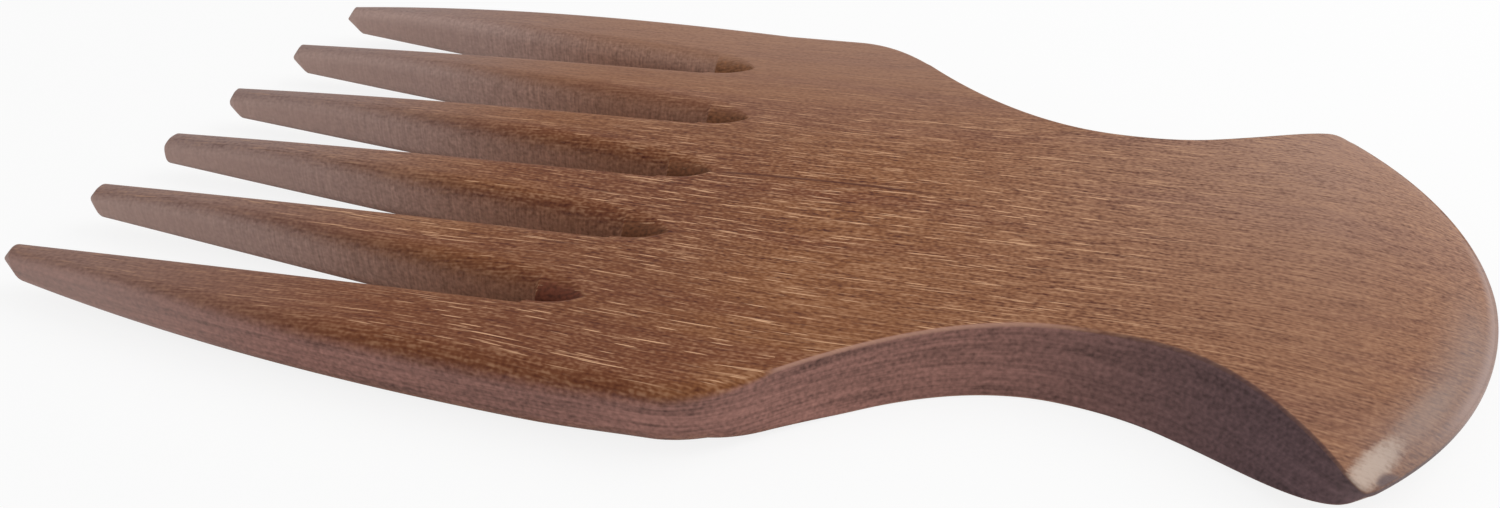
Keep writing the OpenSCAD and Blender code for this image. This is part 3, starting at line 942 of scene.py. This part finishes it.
    def arrises(self, tone):
        """The handle's arris: a pale line along the waist, worn and with a painted highlight, and a dark one
        below the horns, oil with painted shade.
        """
        x, wood = self.x, self.wood
        # Wear and painted highlight: a pale line along the arris by the waist.
        tone = self.blend(self.arris * x.over(42, 34) * 0.8, tone, wood.arris)
        # Oil and painted shade: a dark line along the arris below the horns.
        return self.blend(self.arris * x.over(36, 46) * x.over(66, 60) * 0.7, tone, wood.horn)

    def oval(self, middle_mm, half_mm, degrees):
        """An oval mark on the board: 1 in its middle and 0 on its rim, by 1 - (p / a) ^ 2 - (q / b) ^ 2, with
        p and q measured along and across it."""
        cos, sin = float(np.cos(np.radians(degrees))), float(np.sin(np.radians(degrees)))
        right, away = self.x - middle_mm[0] * MM, self.y - middle_mm[1] * MM
        along = (right * cos + away * sin) * (1 / (half_mm[0] * MM))
        across = (away * cos - right * sin) * (1 / (half_mm[1] * MM))
        return 1 - along * along - across * across

    def check_and_painted_light(self, tone):
        """A hairline check that follows a shallow arc over the palm, and by the near horn a painted highlight
        patch, a faint pale line of painted highlight along the rounding and a small dark spot of painted
        shadow."""
        x, y, wood = self.x, self.y, self.wood
        arc = x * (0.083 - x * 2.7) + 0.4 * MM
        check = abs(y - arc).over(0.35, 0.10) * x.over(-6, -3) * x.over(23, 16) * self.above
        tone = self.blend(check * 0.8, tone, wood.pore)
        on_top = self.above * self.side.ramp(0.8, 0.4)
        # Painted highlight: a pale patch where the horn's rounding catches the light.
        horn_highlight = self.oval(middle_mm=(64.2, -29.9), half_mm=(4.0, 1.0), degrees=60)
        horn_highlight += self.fibres.swing(0.6) + self.torn.swing(1.5)
        tone = self.blend(horn_highlight.ramp(-1.3, 1.1) * on_top, tone, wood.painted_highlight)
        # Painted highlight: a faint pale line along the rounding inside the rim.
        rim_streak_highlight = self.oval(middle_mm=(68.2, -22.6), half_mm=(7.4, 1.2), degrees=62) + self.torn.swing(0.9)
        tone = self.blend(rim_streak_highlight.ramp(-0.6, 1.1) * on_top * 0.20, tone, wood.painted_highlight)
        # Painted shadow: a small dark spot beside the highlight by the near horn.
        painted_shadow_spot = self.oval(middle_mm=(65.8, -30.5), half_mm=(1.6, 0.9), degrees=40) + self.torn.swing(0.6)
        return self.blend(painted_shadow_spot.ramp(-0.1, 0.7) * on_top * 0.9, tone, wood.horn)

    def tail_sheen_and_highlight(self, tone):
        """The tail's rim, paler by a painted highlight, and a greyer band inside it by a painted sheen."""
        y, z, wood = self.y, self.z, self.wood
        # Painted sheen: a greyer band on the rounding inside the rim, on the near side.
        greyed = self.nose * self.above * z.over(7.2, 6.0) * y.over(4, -12)
        tone = self.blend(greyed * 0.42, tone, wood.ash)
        # Painted highlight along the tail's rim.
        rim = self.nose * z.over(5.7, 5.1) * y.over(-27, -17) * y.over(14, 5)
        return self.blend(rim * 0.6, tone, wood.rim)

    def oiled(self):
        """The whole surface: its colour layer by layer, the relief of the grain and the saw, and the oil."""
        tone = self.faces()
        for layer in (self.open_grain, self.flanks, self.gullet_walls, self.scoops, self.arrises,
                      self.check_and_painted_light, self.tail_sheen_and_highlight):
            tone = layer(tone)
        height = self.fibres * 0.5 + self.lines * 0.3 + self.pits * 0.4 - self.pores * 0.5
        height += (self.stripes + self.torn) * self.rough + self.torn * self.scoop
        bump = self.add("Bump", {}, {"Strength": 0.35, "Distance": 0.08 * MM, "Height": height})
        dullness = 0.50 + 0.15 * self.fibres + self.rough * 0.2 + self.scoop * 0.2
        return self.done(self.add("BsdfPrincipled", {}, {
            "Base Color": tone, "Roughness": dullness, "Normal": bump,
            "Specular IOR Level": self.wood.gloss}))


def plain_floor(pick):
    """A pale floor. The camera sees it mixed with plain white, so that it keeps only a faint shadow."""
    finish = Finish(bpy.data.materials.new("pale_floor"))
    matt = finish.add("BsdfDiffuse", {}, {"Color": (0.9, 0.9, 0.9, 1)})
    white = finish.add("Emission", {}, {"Color": (1, 1, 1, 1), "Strength": 1})
    return finish.done(finish.add("MixShader", {}, {
        0: finish.seen_white() * pick.stage.floor_white, 1: matt, 2: white}))


def soft_room(pick):
    """An even world that the camera sees as white."""
    finish = Finish(bpy.data.worlds.new("soft_room"))
    ambient = pick.stage.ambient
    return finish.done(finish.add("Background", {}, {
        "Color": (1, 1, 1, 1), "Strength": ambient + finish.seen_white() * (1 - ambient)}), "OutputWorld")


class Pick(bpy.types.PropertyGroup):
    """Everything about the pick that a user may change."""
    board: PointerProperty(type=BoardSizes)
    tines: PointerProperty(type=TineSizes)
    handle: PointerProperty(type=HandleSizes)
    wood: PointerProperty(type=WoodColours)
    stage: PointerProperty(type=StageSettings)
    counts: PointerProperty(type=MeshCounts)


class PICK_OT_carve_tines(bpy.types.Operator):
    """Carve the six tines"""
    bl_idname = "pick.carve_tines"
    bl_label = "Carve tines"

    def execute(self, context):
        pick = context.scene.pick
        for i, node in enumerate(TINES, start=1):
            rings, marks = tine_rings(pick, i)
            name = f"carved_{node}"
            add_piece(pick, name, node, skin(name, rings, marks, spare=(0, 1)))
        return {"FINISHED"}


class PICK_OT_carve_palm(bpy.types.Operator):
    """Carve the palm with the scoops at the gullets' roots"""
    bl_idname = "pick.carve_palm"
    bl_label = "Carve palm"

    def execute(self, context):
        pick = context.scene.pick
        palm, fishtail = edge_stations(pick)
        ahead = 2 * palm[0] - palm[1]
        stations = np.concatenate([[ahead], palm, fishtail[1:2]])
        x, y = stations[:, :1], stations[:, 1:]
        rings, marks = closed_rings(x, head_row(pick, x, y, False), top_z(pick, x),
                                    head_row(pick, x, y, True), low_z(pick, x))
        mesh = skin("carved_palm", rings, marks, spare=(1, 1))
        add_piece(pick, "carved_palm", "head", mesh)
        return {"FINISHED"}


class PICK_OT_carve_fishtail(bpy.types.Operator):
    """Carve the waist and the fishtail end"""
    bl_idname = "pick.carve_fishtail"
    bl_label = "Carve fishtail"

    def execute(self, context):
        pick = context.scene.pick
        palm, fishtail = edge_stations(pick)
        rings, marks = handle_rings(pick, np.concatenate([palm[-2:-1], fishtail]))
        mesh = skin("carved_fishtail", rings, marks, spare=(1, 0))
        add_piece(pick, "carved_fishtail", "handle", mesh)
        return {"FINISHED"}


class PICK_OT_set_stage(bpy.types.Operator):
    """Set up the floor, the soft light and the camera"""
    bl_idname = "pick.set_stage"
    bl_label = "Set stage"

    def execute(self, context):
        pick, scene = context.scene.pick, context.scene
        self.floor(pick, scene)
        self.light(pick, scene)
        self.camera(pick, scene)
        scene.view_settings.view_transform = "Standard"
        return {"FINISHED"}

    def floor(self, pick, scene):
        """One large square under the pick."""
        half = pick.stage.floor_half
        mesh = bpy.data.meshes.new("floor")
        mesh.from_pydata([(-half, -half, 0), (half, -half, 0), (half, half, 0), (-half, half, 0)], [],
                         [(0, 1, 2, 3)])
        mesh.materials.append(plain_floor(pick))
        ground = bpy.data.objects.new("floor", mesh)
        scene.collection.objects.link(ground)

    def light(self, pick, scene):
        """The even room and one large lamp."""
        scene.world = soft_room(pick)
        lamp = bpy.data.lights.new("overhead", "AREA")
        lamp.shape = "DISK"
        lamp.size = pick.stage.key_d
        lamp.energy = pick.stage.key
        held = bpy.data.objects.new("overhead", lamp)
        held.location = pick.stage.key_at
        held.rotation_euler = held.location.to_track_quat("Z", "Y").to_euler()
        scene.collection.objects.link(held)

    def camera(self, pick, scene):
        """Turned by yaw about the upright, tilted down by pitch, then rolled about its own axis."""
        stage = pick.stage
        data = bpy.data.cameras.new("camera")
        data.lens = stage.focal
        data.sensor_width = SENSOR_MM
        data.sensor_fit = "HORIZONTAL"
        data.clip_start = CLIP_START
        camera = bpy.data.objects.new("camera", data)
        turn = Matrix.Rotation(stage.yaw, 4, "Z") @ Matrix.Rotation(QUARTER - stage.pitch, 4, "X")
        camera.matrix_world = Matrix.Translation(stage.camera_at) @ turn @ Matrix.Rotation(stage.roll, 4, "Z")
        scene.collection.objects.link(camera)
        scene.camera = camera


class PICK_PT_panel(bpy.types.Panel):
    """Lists the steps and the sizes"""
    bl_idname = "PICK_PT_panel"
    bl_label = "Carved Afro Pick"
    bl_space_type = "VIEW_3D"
    bl_region_type = "UI"
    bl_category = "Pick"

    def draw(self, context):
        for step in STEPS:
            self.layout.operator(step.bl_idname)
        pick = context.scene.pick
        for group in (pick.board, pick.tines, pick.handle, pick.wood, pick.stage, pick.counts):
            box = self.layout.box()
            box.label(text=group.bl_rna.name)
            for name in group.__annotations__:
                box.prop(group, name)


STEPS = (PICK_OT_set_stage, PICK_OT_carve_tines, PICK_OT_carve_palm, PICK_OT_carve_fishtail)
CLASSES = (BoardSizes, TineSizes, HandleSizes, WoodColours, StageSettings, MeshCounts, Pick, *STEPS,
           PICK_PT_panel)


def register():
    for cls in CLASSES:
        bpy.utils.register_class(cls)
    bpy.types.Scene.pick = PointerProperty(type=Pick)


def unregister():
    del bpy.types.Scene.pick
    for cls in reversed(CLASSES):
        bpy.utils.unregister_class(cls)


def main():
    register()
    for step in STEPS:
        group, name = step.bl_idname.split(".")
        getattr(getattr(bpy.ops, group), name)()


if __name__ == "__main__":
    main()
